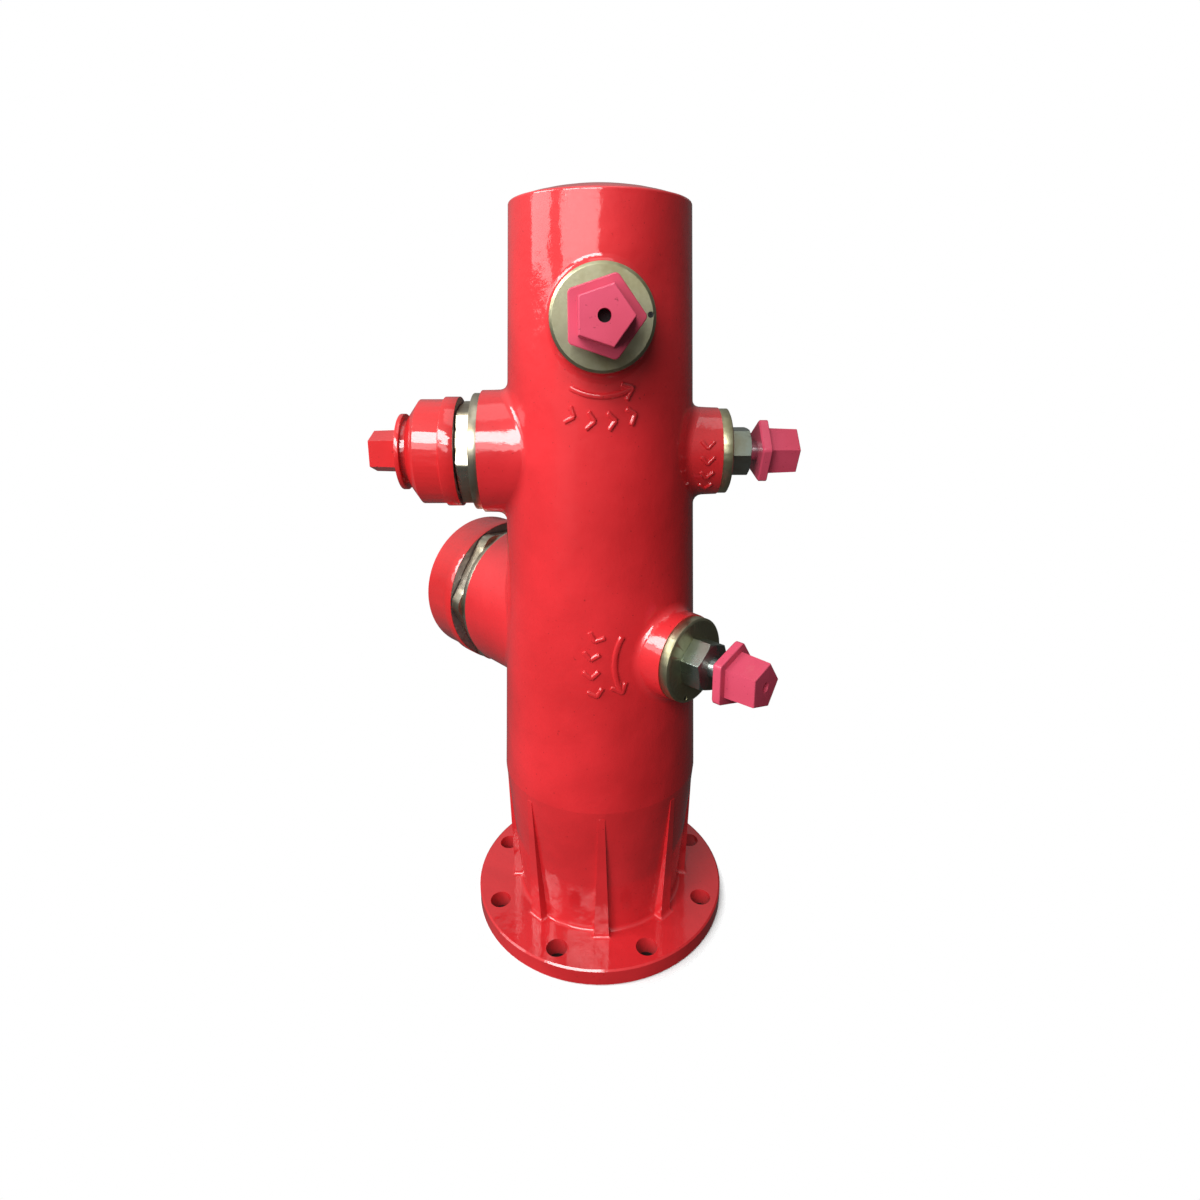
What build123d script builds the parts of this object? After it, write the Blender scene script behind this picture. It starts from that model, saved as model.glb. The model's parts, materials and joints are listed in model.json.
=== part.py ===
"""Wet-barrel fire hydrant: one cast barrel with three independent outlets.

Each outlet is a brass nozzle with a threaded cap. Its valve disc closes the inner end of the
nozzle, and is worked by a stem that crosses the barrel and leaves it through a brass insert on
the opposite side, where a pentagon operating nut turns it.

Units are millimetres. +Z is up, and the origin is the centre of the base flange's underside.
+X points along the middle valve's stem, and -Y along the top valve's stem.
"""
from build123d import *
from dataclasses import dataclass
from math import cos, pi, radians, sin
import os

# ---------------------------------------------------------------- driving dimensions
# Base flange: nominal 6 inch, eight-hole drilling.
FLANGE_DIAMETER = 279.4
FLANGE_THICKNESS = 19.0
FLANGE_EDGE = 1.6
BOLT_CIRCLE = 241.3
BOLT_COUNT = 8
BOLT_HOLE_DIAMETER = 22.2
WATERWAY_DIAMETER = 152.4

# Barrel outline: it widens from the foot to the shoulder, then tapers up to the rim.
FOOT_RADIUS = 90.0
SHOULDER_RADIUS = 103.7
SHOULDER_HEIGHT = 174.0
RIM_RADIUS = 81.6
RIM_HEIGHT = 733.2
RIM_ROUND = 2.5
DOME_HEIGHT = 746.5
WALL = 9.5
TOP_WALL = 13.0

# Ribs between the flange and the barrel, one midway between each pair of bolt holes.
RIB_FOOT_RADIUS = 98.5
RIB_FOOT_WIDTH = 16.0
RIB_TOP_RADIUS = 103.5
RIB_TOP_WIDTH = 6.0
RIB_TOP_HEIGHT = 167.0
RIB_ROOT_RADIUS = 84.0

# Where the barrel's round faces close on themselves, clear of every boss, rib and hole.
SEAM_AZIMUTH = 58.0

# Casting fillets.
FLANGE_FILLET = 4.0
BOSS_ROOT_FILLET = 8.0

# Clearances, on the radius.
SCREWED_GAP = 0.15
RUNNING_GAP = 0.075
THREAD_GAP = 0.3
SEAT_GAP = 0.1

# How far a cut runs past the face that it opens, and how near counts as the same place.
OVERRUN = 1.0
SAME_PLACE = 0.01

# Valve-side hardware, the same on all three valves. Stations run outward from the barrel's axis.
VALVE_BOSS_ROOT_RADIUS = 47.0
VALVE_BOSS_END_RADIUS = 42.0
VALVE_BOSS_END = 113.6
INSERT_FLANGE_RADIUS = 41.0
INSERT_FACE = 123.8
INSERT_BODY_RADIUS = 33.0
INSERT_FACE_STEP = 1.2
STEM_RADIUS = 9.525
PACKING_START = 100.0
PACKING_END = 118.0
PACKING_RADIUS = 15.0
GLAND_ACROSS_FLATS = 42.9
GLAND_END = 144.5
GLAND_CHAMFER = 3.0
GLAND_CHAMFER_LENGTH = 1.5
COLLAR_START = 153.0
COLLAR_END = 162.0
COLLAR_RADIUS = 31.6
COLLAR_CORNER = 4.0
NUT_BASE_RADIUS = 22.9
NUT_END_RADIUS = 21.7
NUT_END = 191.5
NUT_HOLE_RADIUS = 4.75
NUT_SOCKET_END = 168.0
SCREW_SHANK_RADIUS = 3.0
SCREW_SHANK_START = 148.0
SCREW_HEAD_LENGTH = 5.0
SCREW_SOCKET_RADIUS = 2.4
SET_SCREW_PITCH_RADIUS = 36.6
SET_SCREW_RADIUS = 2.2
SET_SCREW_START = 115.7
SET_SCREW_END = 122.9

# Disc carrier, rubber disc and its retainer.
RUBBER_THICKNESS = 8.0
CARRIER_PLATE = 10.0
CARRIER_LIP = 2.0
HUB_RADIUS = 16.0
HUB_LENGTH = 20.0
RETAINER_SHANK_RADIUS = 6.0
RETAINER_HEAD = 5.0
RETAINER_SHARE = 0.72
RETAINER_SHANK_LENGTH = RUBBER_THICKNESS + CARRIER_PLATE - 2.0
RETAINER_HOLE_DEPTH = CARRIER_PLATE - 1.0
STEM_CHAMFER = 0.8
COLLAR_BEVEL = 1.5
NUT_EDGE = 1.0

# Nozzles and caps.
SEAT_RISE = 2.0
RING_EDGE = 1.0
THREAD_NOSE = 1.5
GASKET_THICKNESS = 3.0
CAP_STEP = 1.2
CAP_MOUTH_DEPTH = 7.0
CAP_NUT_BASE_RADIUS = 21.8
CAP_NUT_END_RADIUS = 20.8
CAP_NUT_TURN = 20.0

# Seal rings.
RING_SECTION = 1.38
RING_GROOVE_DEPTH = 2.8
RING_GROOVE_WIDTH = 3.6

HEXAGON_SIDES = 6
PENTAGON_SIDES = 5
FLAT_TO_CORNER = 1.0 / cos(pi / HEXAGON_SIDES)


@dataclass(frozen=True)
class OutletSize:
    """Dimensions of a nozzle, its cap and its valve disc. Stations run outward from the axis."""

    bore_radius: float
    seat_station: float
    body_radius: float
    boss_root_radius: float
    boss_end_radius: float
    boss_end: float
    ring_radius: float
    ring_end: float
    hex_across_flats: float
    hex_round: float
    hex_end: float
    thread_radius: float
    thread_end: float
    cap_mouth: float
    cap_mouth_radius: float
    cap_rim_radius: float
    cap_rim_end: float
    cap_body_radius: float
    cap_body_end: float
    cap_crown_radius: float
    cap_crown: float
    cap_crown_wall: float
    neck_radius: float
    disc_radius: float
    disc_start: float
    disc_end: float
    cap_nut_end: float
    valve_radius: float
    insert_start: float


HOSE = OutletSize(
    bore_radius=31.75,
    seat_station=72.0,
    body_radius=44.85,
    boss_root_radius=61.5,
    boss_end_radius=58.8,
    boss_end=112.2,
    ring_radius=56.0,
    ring_end=120.5,
    hex_across_flats=89.0,
    hex_round=4.0,
    hex_end=133.2,
    thread_radius=38.9,
    thread_end=162.0,
    cap_mouth=134.2,
    cap_mouth_radius=47.0,
    cap_rim_radius=52.6,
    cap_rim_end=147.4,
    cap_body_radius=50.2,
    cap_body_end=171.4,
    cap_crown_radius=35.6,
    cap_crown=182.0,
    cap_crown_wall=12.0,
    neck_radius=30.5,
    disc_radius=36.5,
    disc_start=187.5,
    disc_end=191.5,
    cap_nut_end=220.5,
    valve_radius=38.5,
    insert_start=70.0,
)

PUMPER = OutletSize(
    bore_radius=50.8,
    seat_station=78.0,
    body_radius=66.0,
    boss_root_radius=85.0,
    boss_end_radius=81.8,
    boss_end=126.5,
    ring_radius=79.2,
    ring_end=136.0,
    hex_across_flats=148.0,
    hex_round=14.0,
    hex_end=150.5,
    thread_radius=63.6,
    thread_end=176.0,
    cap_mouth=151.3,
    cap_mouth_radius=76.0,
    cap_rim_radius=83.8,
    cap_rim_end=166.0,
    cap_body_radius=81.2,
    cap_body_end=200.0,
    cap_crown_radius=71.0,
    cap_crown=212.0,
    cap_crown_wall=12.0,
    neck_radius=34.0,
    disc_radius=40.0,
    disc_start=217.5,
    disc_end=222.0,
    cap_nut_end=251.0,
    valve_radius=59.0,
    insert_start=78.0,
)


@dataclass(frozen=True)
class Station:
    """One valve and its outlet: their height, the stem's azimuth, and how each part is turned.

    `nut_rise` is how much farther out the operating nut stands than on the shortest stem.
    """

    name: str
    height: float
    azimuth: float
    size: OutletSize
    screw_depth: float
    pentagon_turn: float
    screw_turn: float
    gland_turn: float
    nozzle_turn: float
    nut_rise: float


STATIONS = [
    Station("top", 633.5, -90.0, HOSE, 17.0, -90.0, -86.0, 32.0, 23.0, 0.0),
    Station("middle", 513.0, 0.0, HOSE, 17.0, 80.0, 200.0, 32.0, 23.0, 0.0),
    Station("lower", 329.6, -45.0, PUMPER, 3.0, -17.0, 160.0, 10.0, 34.0, 7.5),
]


# ---------------------------------------------------------------- planes and axes
def direction(azimuth):
    """Level unit vector at an azimuth from +X."""
    return Vector(cos(radians(azimuth)), sin(radians(azimuth)), 0)


def profile_plane(height, azimuth):
    """Plane that holds the fitting's axis: local X runs outward, local Y is the radius, upward."""
    outward = direction(azimuth)
    return Plane(origin=(0, 0, height), x_dir=outward, z_dir=outward.cross(Vector(0, 0, 1)))


def cross_plane(height, azimuth, station):
    """Plane across the fitting's axis at a station, with local X upward."""
    outward = direction(azimuth)
    origin = outward * station + Vector(0, 0, height)
    return Plane(origin=origin, x_dir=(0, 0, 1), z_dir=outward)


def fitting_axis(height, azimuth):
    """The axis that a fitting is turned about."""
    return Axis((0, 0, height), direction(azimuth))


# ---------------------------------------------------------------- barrel
def make_barrel():
    """Cast barrel: flange, ribbed foot, tapered body, domed top, six bosses and its waterway."""
    with BuildPart() as barrel:
        with BuildSketch(profile_plane(0, SEAM_AZIMUTH)):
            with BuildLine():
                side = Polyline(
                    (0, FLANGE_THICKNESS / 2),
                    (FOOT_RADIUS, FLANGE_THICKNESS / 2),
                    (FOOT_RADIUS, FLANGE_THICKNESS),
                    (SHOULDER_RADIUS, SHOULDER_HEIGHT),
                    (RIM_RADIUS, RIM_HEIGHT - RIM_ROUND),
                )
                rim = TangentArc(
                    side @ 1,
                    (RIM_RADIUS - RIM_ROUND, RIM_HEIGHT),
                    tangent=side % 1,
                )
                dome = TangentArc((0, DOME_HEIGHT), rim @ 1, tangent=(1, 0))
                Line(dome @ 0, side @ 0)
            make_face()
        revolve(axis=Axis.Z)

        # Bosses: a large one for each nozzle and a small one for each stem insert.
        for station in STATIONS:
            size = station.size
            with BuildSketch(profile_plane(station.height, station.azimuth + 180)):
                with BuildLine():
                    Polyline(
                        (0, 0),
                        (size.boss_end, 0),
                        (size.boss_end, size.boss_end_radius),
                        (0, size.boss_root_radius),
                        close=True,
                    )
                make_face()
            revolve(axis=fitting_axis(station.height, station.azimuth + 180))
            with BuildSketch(profile_plane(station.height, station.azimuth)):
                with BuildLine():
                    Polyline(
                        (0, 0),
                        (VALVE_BOSS_END, 0),
                        (VALVE_BOSS_END, VALVE_BOSS_END_RADIUS),
                        (0, VALVE_BOSS_ROOT_RADIUS),
                        close=True,
                    )
                make_face()
            revolve(axis=fitting_axis(station.height, station.azimuth))

        boss_roots = (
            barrel.edges()
            .filter_by(GeomType.CIRCLE, reverse=True)
            .filter_by(lambda edge: edge.center().Z > SHOULDER_HEIGHT)
            .filter_by(lambda edge: edge.length > BOLT_HOLE_DIAMETER)
        )
        fillet(boss_roots, BOSS_ROOT_FILLET)

        # Base flange.
        with BuildSketch(profile_plane(0, SEAM_AZIMUTH)):
            with BuildLine():
                Polyline(
                    (0, 0),
                    (FLANGE_DIAMETER / 2 - FLANGE_EDGE, 0),
                    (FLANGE_DIAMETER / 2, FLANGE_EDGE),
                    (FLANGE_DIAMETER / 2, FLANGE_THICKNESS - FLANGE_EDGE),
                    (FLANGE_DIAMETER / 2 - FLANGE_EDGE, FLANGE_THICKNESS),
                    (0, FLANGE_THICKNESS),
                    close=True,
                )
            make_face()
        revolve(axis=Axis.Z)

        # Ribs.
        foot_depth = RIB_FOOT_RADIUS - RIB_ROOT_RADIUS
        top_depth = RIB_TOP_RADIUS - RIB_ROOT_RADIUS
        for turn in range(BOLT_COUNT):
            spin = turn * 360 / BOLT_COUNT
            foot_plane = Plane.XY.offset(FLANGE_THICKNESS / 2).rotated((0, 0, spin))
            top_plane = Plane.XY.offset(RIB_TOP_HEIGHT).rotated((0, 0, spin))
            with BuildSketch(foot_plane):
                with Locations((RIB_ROOT_RADIUS + foot_depth / 2, 0)):
                    Rectangle(foot_depth, RIB_FOOT_WIDTH)
            with BuildSketch(top_plane):
                with Locations((RIB_ROOT_RADIUS + top_depth / 2, 0)):
                    Rectangle(top_depth, RIB_TOP_WIDTH)
            loft()

        # Cast fillet where the foot and the ribs stand on the flange.
        flange_top_edges = barrel.edges().filter_by_position(
            Axis.Z, FLANGE_THICKNESS - SAME_PLACE, FLANGE_THICKNESS + SAME_PLACE
        )
        fillet(flange_top_edges.sort_by(SortBy.LENGTH)[:-1], FLANGE_FILLET)

        # Waterway, open at the base and closed by the top wall.
        with BuildSketch(profile_plane(0, SEAM_AZIMUTH)):
            with BuildLine():
                Polyline(
                    (0, 0),
                    (WATERWAY_DIAMETER / 2, 0),
                    (WATERWAY_DIAMETER / 2, FLANGE_THICKNESS),
                    (SHOULDER_RADIUS - WALL, SHOULDER_HEIGHT),
                    (RIM_RADIUS - WALL, RIM_HEIGHT - TOP_WALL),
                    (0, DOME_HEIGHT - TOP_WALL),
                    close=True,
                )
            make_face()
        revolve(axis=Axis.Z, mode=Mode.SUBTRACT)

        # Screwed bores for the nozzles and the inserts.
        for station in STATIONS:
            size = station.size
            with BuildSketch(cross_plane(station.height, station.azimuth + 180, 0)):
                Circle(size.body_radius + SCREWED_GAP)
            extrude(amount=size.boss_end + OVERRUN, mode=Mode.SUBTRACT)
            with BuildSketch(cross_plane(station.height, station.azimuth, 0)):
                Circle(INSERT_BODY_RADIUS + SCREWED_GAP)
            extrude(amount=VALVE_BOSS_END + OVERRUN, mode=Mode.SUBTRACT)

        # Flange bolt holes, midway between the ribs.
        with BuildSketch(Plane.XY.offset(-OVERRUN)):
            with PolarLocations(BOLT_CIRCLE / 2, BOLT_COUNT, start_angle=180 / BOLT_COUNT):
                Circle(BOLT_HOLE_DIAMETER / 2)
        extrude(amount=FLANGE_THICKNESS + 2 * OVERRUN, mode=Mode.SUBTRACT)

    barrel.part.label = "barrel"
    export_step(barrel.part, "parts/barrel.step")


# ---------------------------------------------------------------- fixed pieces of a valve
def make_insert(station):
    """Brass insert: flange, screwed body, stem bushing and packing chamber."""
    size = station.size
    groove_end = VALVE_BOSS_END - RING_GROOVE_WIDTH
    groove_start = groove_end - RING_GROOVE_WIDTH
    groove_floor = INSERT_BODY_RADIUS - RING_GROOVE_DEPTH
    with BuildPart() as insert:
        with BuildSketch(profile_plane(station.height, station.azimuth)):
            with BuildLine():
                Polyline(
                    (size.insert_start, STEM_RADIUS + RUNNING_GAP),
                    (PACKING_START, STEM_RADIUS + RUNNING_GAP),
                    (PACKING_START, PACKING_RADIUS),
                    (INSERT_FACE, PACKING_RADIUS),
                    (INSERT_FACE, INSERT_FLANGE_RADIUS - 2 * INSERT_FACE_STEP),
                    (INSERT_FACE - INSERT_FACE_STEP, INSERT_FLANGE_RADIUS),
                    (VALVE_BOSS_END, INSERT_FLANGE_RADIUS),
                    (VALVE_BOSS_END, INSERT_BODY_RADIUS),
                    (groove_end, INSERT_BODY_RADIUS),
                    (groove_end, groove_floor),
                    (groove_start, groove_floor),
                    (groove_start, INSERT_BODY_RADIUS),
                    (size.insert_start + INSERT_FACE_STEP, INSERT_BODY_RADIUS),
                    (size.insert_start, INSERT_BODY_RADIUS - INSERT_FACE_STEP),
                    close=True,
                )
            make_face()
        revolve(axis=fitting_axis(station.height, station.azimuth))
        with BuildSketch(cross_plane(station.height, station.azimuth, SET_SCREW_START)):
            with Locations(set_screw_place(station)):
                Circle(SET_SCREW_RADIUS + SCREWED_GAP)
        extrude(amount=INSERT_FACE - SET_SCREW_START + OVERRUN, mode=Mode.SUBTRACT)
    insert.part.label = f"{station.name}_valve_insert"
    export_step(insert.part, f"parts/{insert.part.label}.step")


def set_screw_place(station):
    """Where the locking screw sits on the insert's face, in the cross plane's coordinates."""
    turn = radians(station.screw_turn)
    return (SET_SCREW_PITCH_RADIUS * cos(turn), SET_SCREW_PITCH_RADIUS * sin(turn))


def make_insert_ring(station):
    """O-ring in the insert's groove."""
    middle = VALVE_BOSS_END - 1.5 * RING_GROOVE_WIDTH
    centre = INSERT_BODY_RADIUS - RING_GROOVE_DEPTH + RING_SECTION + SEAT_GAP / 2
    with BuildPart() as ring:
        with BuildSketch(profile_plane(station.height, station.azimuth)):
            with Locations((middle, centre)):
                Circle(RING_SECTION)
        revolve(axis=fitting_axis(station.height, station.azimuth))
    ring.part.label = f"{station.name}_insert_o_ring"
    export_step(ring.part, f"parts/{ring.part.label}.step")


def make_packing(station):
    """Packing rings round the stem, pressed by the gland nut."""
    with BuildPart() as packing:
        with BuildSketch(cross_plane(station.height, station.azimuth, PACKING_START + SEAT_GAP)):
            Circle(PACKING_RADIUS - SCREWED_GAP)
            Circle(STEM_RADIUS + RUNNING_GAP, mode=Mode.SUBTRACT)
        extrude(amount=PACKING_END - PACKING_START - 2 * SEAT_GAP)
    packing.part.label = f"{station.name}_stem_packing"
    export_step(packing.part, f"parts/{packing.part.label}.step")


def make_gland_nut(station):
    """Hexagonal gland nut: a spigot in the packing chamber and a chamfered head."""
    corner = GLAND_ACROSS_FLATS / 2 * FLAT_TO_CORNER
    with BuildPart() as gland:
        with BuildSketch(cross_plane(station.height, station.azimuth, PACKING_END)):
            Circle(PACKING_RADIUS - SCREWED_GAP)
        extrude(amount=INSERT_FACE - PACKING_END)
        with BuildSketch(cross_plane(station.height, station.azimuth, INSERT_FACE)):
            RegularPolygon(corner, HEXAGON_SIDES, rotation=station.gland_turn)
        extrude(amount=GLAND_END - INSERT_FACE)
        with BuildSketch(profile_plane(station.height, station.azimuth)):
            with BuildLine():
                Polyline(
                    (0, 0),
                    (GLAND_END, 0),
                    (GLAND_END, corner - GLAND_CHAMFER),
                    (GLAND_END - GLAND_CHAMFER_LENGTH, corner + SAME_PLACE),
                    (0, corner + SAME_PLACE),
                    close=True,
                )
            make_face()
        revolve(axis=fitting_axis(station.height, station.azimuth), mode=Mode.INTERSECT)
        with BuildSketch(cross_plane(station.height, station.azimuth, 0)):
            Circle(STEM_RADIUS + RUNNING_GAP)
        extrude(amount=GLAND_END + OVERRUN, mode=Mode.SUBTRACT)
    gland.part.label = f"{station.name}_gland_nut"
    export_step(gland.part, f"parts/{gland.part.label}.step")


def make_set_screws():
    """Locking screws of the three inserts, as one group of separate solids."""
    with BuildPart() as screws:
        for station in STATIONS:
            with BuildSketch(cross_plane(station.height, station.azimuth, SET_SCREW_START)):
                with Locations(set_screw_place(station)):
                    Circle(SET_SCREW_RADIUS)
            extrude(amount=SET_SCREW_END - SET_SCREW_START)
            with BuildSketch(cross_plane(station.height, station.azimuth, SET_SCREW_END)):
                with Locations(set_screw_place(station)):
                    RegularPolygon(SET_SCREW_RADIUS / 2, HEXAGON_SIDES)
            extrude(amount=-SET_SCREW_RADIUS, mode=Mode.SUBTRACT)
    screws.part.label = "insert_set_screws"
    export_step(screws.part, f"parts/{screws.part.label}.step")


# ---------------------------------------------------------------- moving pieces of a valve
def make_disc_carrier(station):
    """Bronze carrier behind the rubber disc, with the hub that holds the stem's inner end."""
    size = station.size
    back = RUBBER_THICKNESS + SEAT_GAP - size.seat_station
    with BuildPart() as carrier:
        with BuildSketch(profile_plane(station.height, station.azimuth)):
            with BuildLine():
                Polyline(
                    (back, 0),
                    (back, size.valve_radius + CARRIER_LIP),
                    (back + CARRIER_PLATE / 2, size.valve_radius + CARRIER_LIP),
                    (back + CARRIER_PLATE, size.valve_radius - CARRIER_PLATE / 2),
                    (back + CARRIER_PLATE, HUB_RADIUS + CARRIER_LIP),
                    (back + CARRIER_PLATE + CARRIER_LIP, HUB_RADIUS),
                    (back + CARRIER_PLATE + HUB_LENGTH, HUB_RADIUS),
                    (back + CARRIER_PLATE + HUB_LENGTH, 0),
                    close=True,
                )
            make_face()
        revolve(axis=fitting_axis(station.height, station.azimuth))
        with BuildSketch(cross_plane(station.height, station.azimuth, back + CARRIER_PLATE)):
            Circle(STEM_RADIUS + RUNNING_GAP)
        extrude(amount=HUB_LENGTH + OVERRUN, mode=Mode.SUBTRACT)
        with BuildSketch(cross_plane(station.height, station.azimuth, back)):
            Circle(RETAINER_SHANK_RADIUS + SCREWED_GAP)
        extrude(amount=RETAINER_HOLE_DEPTH, mode=Mode.SUBTRACT)
    carrier.part.label = f"{station.name}_disc_carrier"
    export_step(carrier.part, f"parts/{carrier.part.label}.step")


def make_rubber_disc(station):
    """Rubber valve disc that closes on the nozzle's inner end."""
    size = station.size
    with BuildPart() as rubber:
        with BuildSketch(cross_plane(station.height, station.azimuth, SEAT_GAP - size.seat_station)):
            Circle(size.valve_radius)
            Circle(RETAINER_SHANK_RADIUS + SCREWED_GAP, mode=Mode.SUBTRACT)
        extrude(amount=RUBBER_THICKNESS)
    rubber.part.label = f"{station.name}_valve_rubber"
    export_step(rubber.part, f"parts/{rubber.part.label}.step")


def make_retainer(station):
    """Bolt and washer in one, which holds the rubber disc against its carrier."""
    size = station.size
    face = SEAT_GAP - size.seat_station
    head = size.bore_radius * RETAINER_SHARE
    with BuildPart() as retainer:
        with BuildSketch(profile_plane(station.height, station.azimuth)):
            with BuildLine():
                Polyline(
                    (face - RETAINER_HEAD, 0),
                    (face - RETAINER_HEAD, head - CARRIER_LIP),
                    (face - RETAINER_HEAD / 2, head),
                    (face, head),
                    (face, RETAINER_SHANK_RADIUS),
                    (face + RETAINER_SHANK_LENGTH, RETAINER_SHANK_RADIUS),
                    (face + RETAINER_SHANK_LENGTH, 0),
                    close=True,
                )
            make_face()
        revolve(axis=fitting_axis(station.height, station.azimuth))
        with BuildSketch(cross_plane(station.height, station.azimuth, face - RETAINER_HEAD)):
            RegularPolygon(RETAINER_SHANK_RADIUS, HEXAGON_SIDES)
        extrude(amount=-RETAINER_HEAD, mode=Mode.ADD)
    retainer.part.label = f"{station.name}_disc_retainer"
    export_step(retainer.part, f"parts/{retainer.part.label}.step")


def make_stem(station):
    """Stem, from the carrier's hub to the operating nut's socket."""
    size = station.size
    start = RUBBER_THICKNESS + CARRIER_PLATE + 2 * SEAT_GAP - size.seat_station
    end = NUT_SOCKET_END + station.nut_rise - SEAT_GAP
    tapping_start = SCREW_SHANK_START + station.nut_rise - OVERRUN
    with BuildPart() as stem:
        with BuildSketch(cross_plane(station.height, station.azimuth, start)):
            Circle(STEM_RADIUS)
        extrude(amount=end - start)
        ends = stem.edges().filter_by(GeomType.CIRCLE)
        chamfer(ends, STEM_CHAMFER)
        with BuildSketch(cross_plane(station.height, station.azimuth, tapping_start)):
            Circle(SCREW_SHANK_RADIUS + SCREWED_GAP)
        extrude(amount=end - tapping_start + OVERRUN, mode=Mode.SUBTRACT)
    stem.part.label = f"{station.name}_stem"
    export_step(stem.part, f"parts/{stem.part.label}.step")


def make_operating_nut(station):
    """Pentagon operating nut with its flanged collar."""
    collar_start = COLLAR_START + station.nut_rise
    collar_end = COLLAR_END + station.nut_rise
    end = NUT_END + station.nut_rise
    head_seat = end - station.screw_depth - SCREW_HEAD_LENGTH
    with BuildPart() as nut:
        with BuildSketch(cross_plane(station.height, station.azimuth, collar_start)):
            collar = RegularPolygon(COLLAR_RADIUS, PENTAGON_SIDES, rotation=station.pentagon_turn)
            fillet(collar.vertices(), COLLAR_CORNER)
        extrude(amount=collar_end - collar_start)
        chamfer(nut.edges().filter_by(lambda edge: is_at(edge, station, collar_start)), COLLAR_BEVEL)
        fillet(nut.edges().filter_by(lambda edge: is_at(edge, station, collar_end)), NUT_EDGE)
        with BuildSketch(cross_plane(station.height, station.azimuth, collar_end - OVERRUN)):
            RegularPolygon(NUT_BASE_RADIUS, PENTAGON_SIDES, rotation=station.pentagon_turn)
        with BuildSketch(cross_plane(station.height, station.azimuth, end)):
            RegularPolygon(NUT_END_RADIUS, PENTAGON_SIDES, rotation=station.pentagon_turn)
        loft()
        fillet(nut.edges().filter_by(lambda edge: is_at(edge, station, end)), NUT_EDGE)
        with BuildSketch(cross_plane(station.height, station.azimuth, 0)):
            Circle(STEM_RADIUS + RUNNING_GAP)
        extrude(amount=NUT_SOCKET_END + station.nut_rise, mode=Mode.SUBTRACT)
        with BuildSketch(cross_plane(station.height, station.azimuth, 0)):
            Circle(SCREW_SHANK_RADIUS + SCREWED_GAP)
        extrude(amount=end, mode=Mode.SUBTRACT)
        with BuildSketch(cross_plane(station.height, station.azimuth, head_seat)):
            Circle(NUT_HOLE_RADIUS)
        extrude(amount=end - head_seat + OVERRUN, mode=Mode.SUBTRACT)
    nut.part.label = f"{station.name}_operating_nut"
    export_step(nut.part, f"parts/{nut.part.label}.step")


def is_at(edge, station, reach):
    """Whether an edge lies across the fitting at a station."""
    outward = direction(station.azimuth)
    spots = [edge @ 0, edge @ 0.5, edge @ 1]
    return all(abs(spot.dot(outward) - reach) < SAME_PLACE for spot in spots)


def make_nut_screw(station):
    """Screw in the nut's axial hole, which ties the nut to the stem."""
    shank_start = SCREW_SHANK_START + station.nut_rise
    head_end = NUT_END + station.nut_rise - station.screw_depth
    head_start = head_end - SCREW_HEAD_LENGTH + SEAT_GAP
    with BuildPart() as screw:
        with BuildSketch(cross_plane(station.height, station.azimuth, shank_start)):
            Circle(SCREW_SHANK_RADIUS)
        extrude(amount=head_start - shank_start)
        with BuildSketch(cross_plane(station.height, station.azimuth, head_start)):
            Circle(NUT_HOLE_RADIUS - SCREWED_GAP)
        extrude(amount=head_end - head_start)
        with BuildSketch(cross_plane(station.height, station.azimuth, head_end)):
            RegularPolygon(SCREW_SOCKET_RADIUS, HEXAGON_SIDES)
        extrude(amount=-SCREW_HEAD_LENGTH / 2, mode=Mode.SUBTRACT)
    screw.part.label = f"{station.name}_nut_screw"
    export_step(screw.part, f"parts/{screw.part.label}.step")


# ---------------------------------------------------------------- outlets
def make_nozzle(station):
    """Brass nozzle: screwed body with its seat, flange ring, hexagon and hose thread."""
    size = station.size
    azimuth = station.azimuth + 180
    groove_end = size.boss_end - RING_GROOVE_WIDTH
    groove_start = groove_end - RING_GROOVE_WIDTH
    groove_floor = size.body_radius - RING_GROOVE_DEPTH
    seat_radius = (size.bore_radius + size.valve_radius) / 2
    corner = size.hex_across_flats / 2 * FLAT_TO_CORNER
    with BuildPart() as nozzle:
        with BuildSketch(profile_plane(station.height, azimuth)):
            with BuildLine():
                Polyline(
                    (size.seat_station, 0),
                    (size.seat_station, seat_radius),
                    (size.seat_station + SEAT_RISE, seat_radius),
                    (size.seat_station + SEAT_RISE, size.body_radius),
                    (groove_start, size.body_radius),
                    (groove_start, groove_floor),
                    (groove_end, groove_floor),
                    (groove_end, size.body_radius),
                    (size.boss_end, size.body_radius),
                    (size.boss_end, size.ring_radius),
                    (size.ring_end - RING_EDGE, size.ring_radius),
                    (size.ring_end, size.ring_radius - RING_EDGE),
                    (size.ring_end, size.thread_radius),
                    (size.thread_end - THREAD_NOSE, size.thread_radius),
                    (size.thread_end, size.thread_radius - THREAD_NOSE),
                    (size.thread_end, 0),
                    close=True,
                )
            make_face()
        revolve(axis=fitting_axis(station.height, azimuth))
        with BuildSketch(cross_plane(station.height, azimuth, size.ring_end)):
            hexagon = RegularPolygon(corner, HEXAGON_SIDES, rotation=station.nozzle_turn)
            fillet(hexagon.vertices(), size.hex_round)
        extrude(amount=size.hex_end - size.ring_end)
        with BuildSketch(cross_plane(station.height, azimuth, 0)):
            Circle(size.bore_radius)
        extrude(amount=size.thread_end + OVERRUN, mode=Mode.SUBTRACT)
    nozzle.part.label = f"{station.name}_nozzle"
    export_step(nozzle.part, f"parts/{nozzle.part.label}.step")


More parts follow.
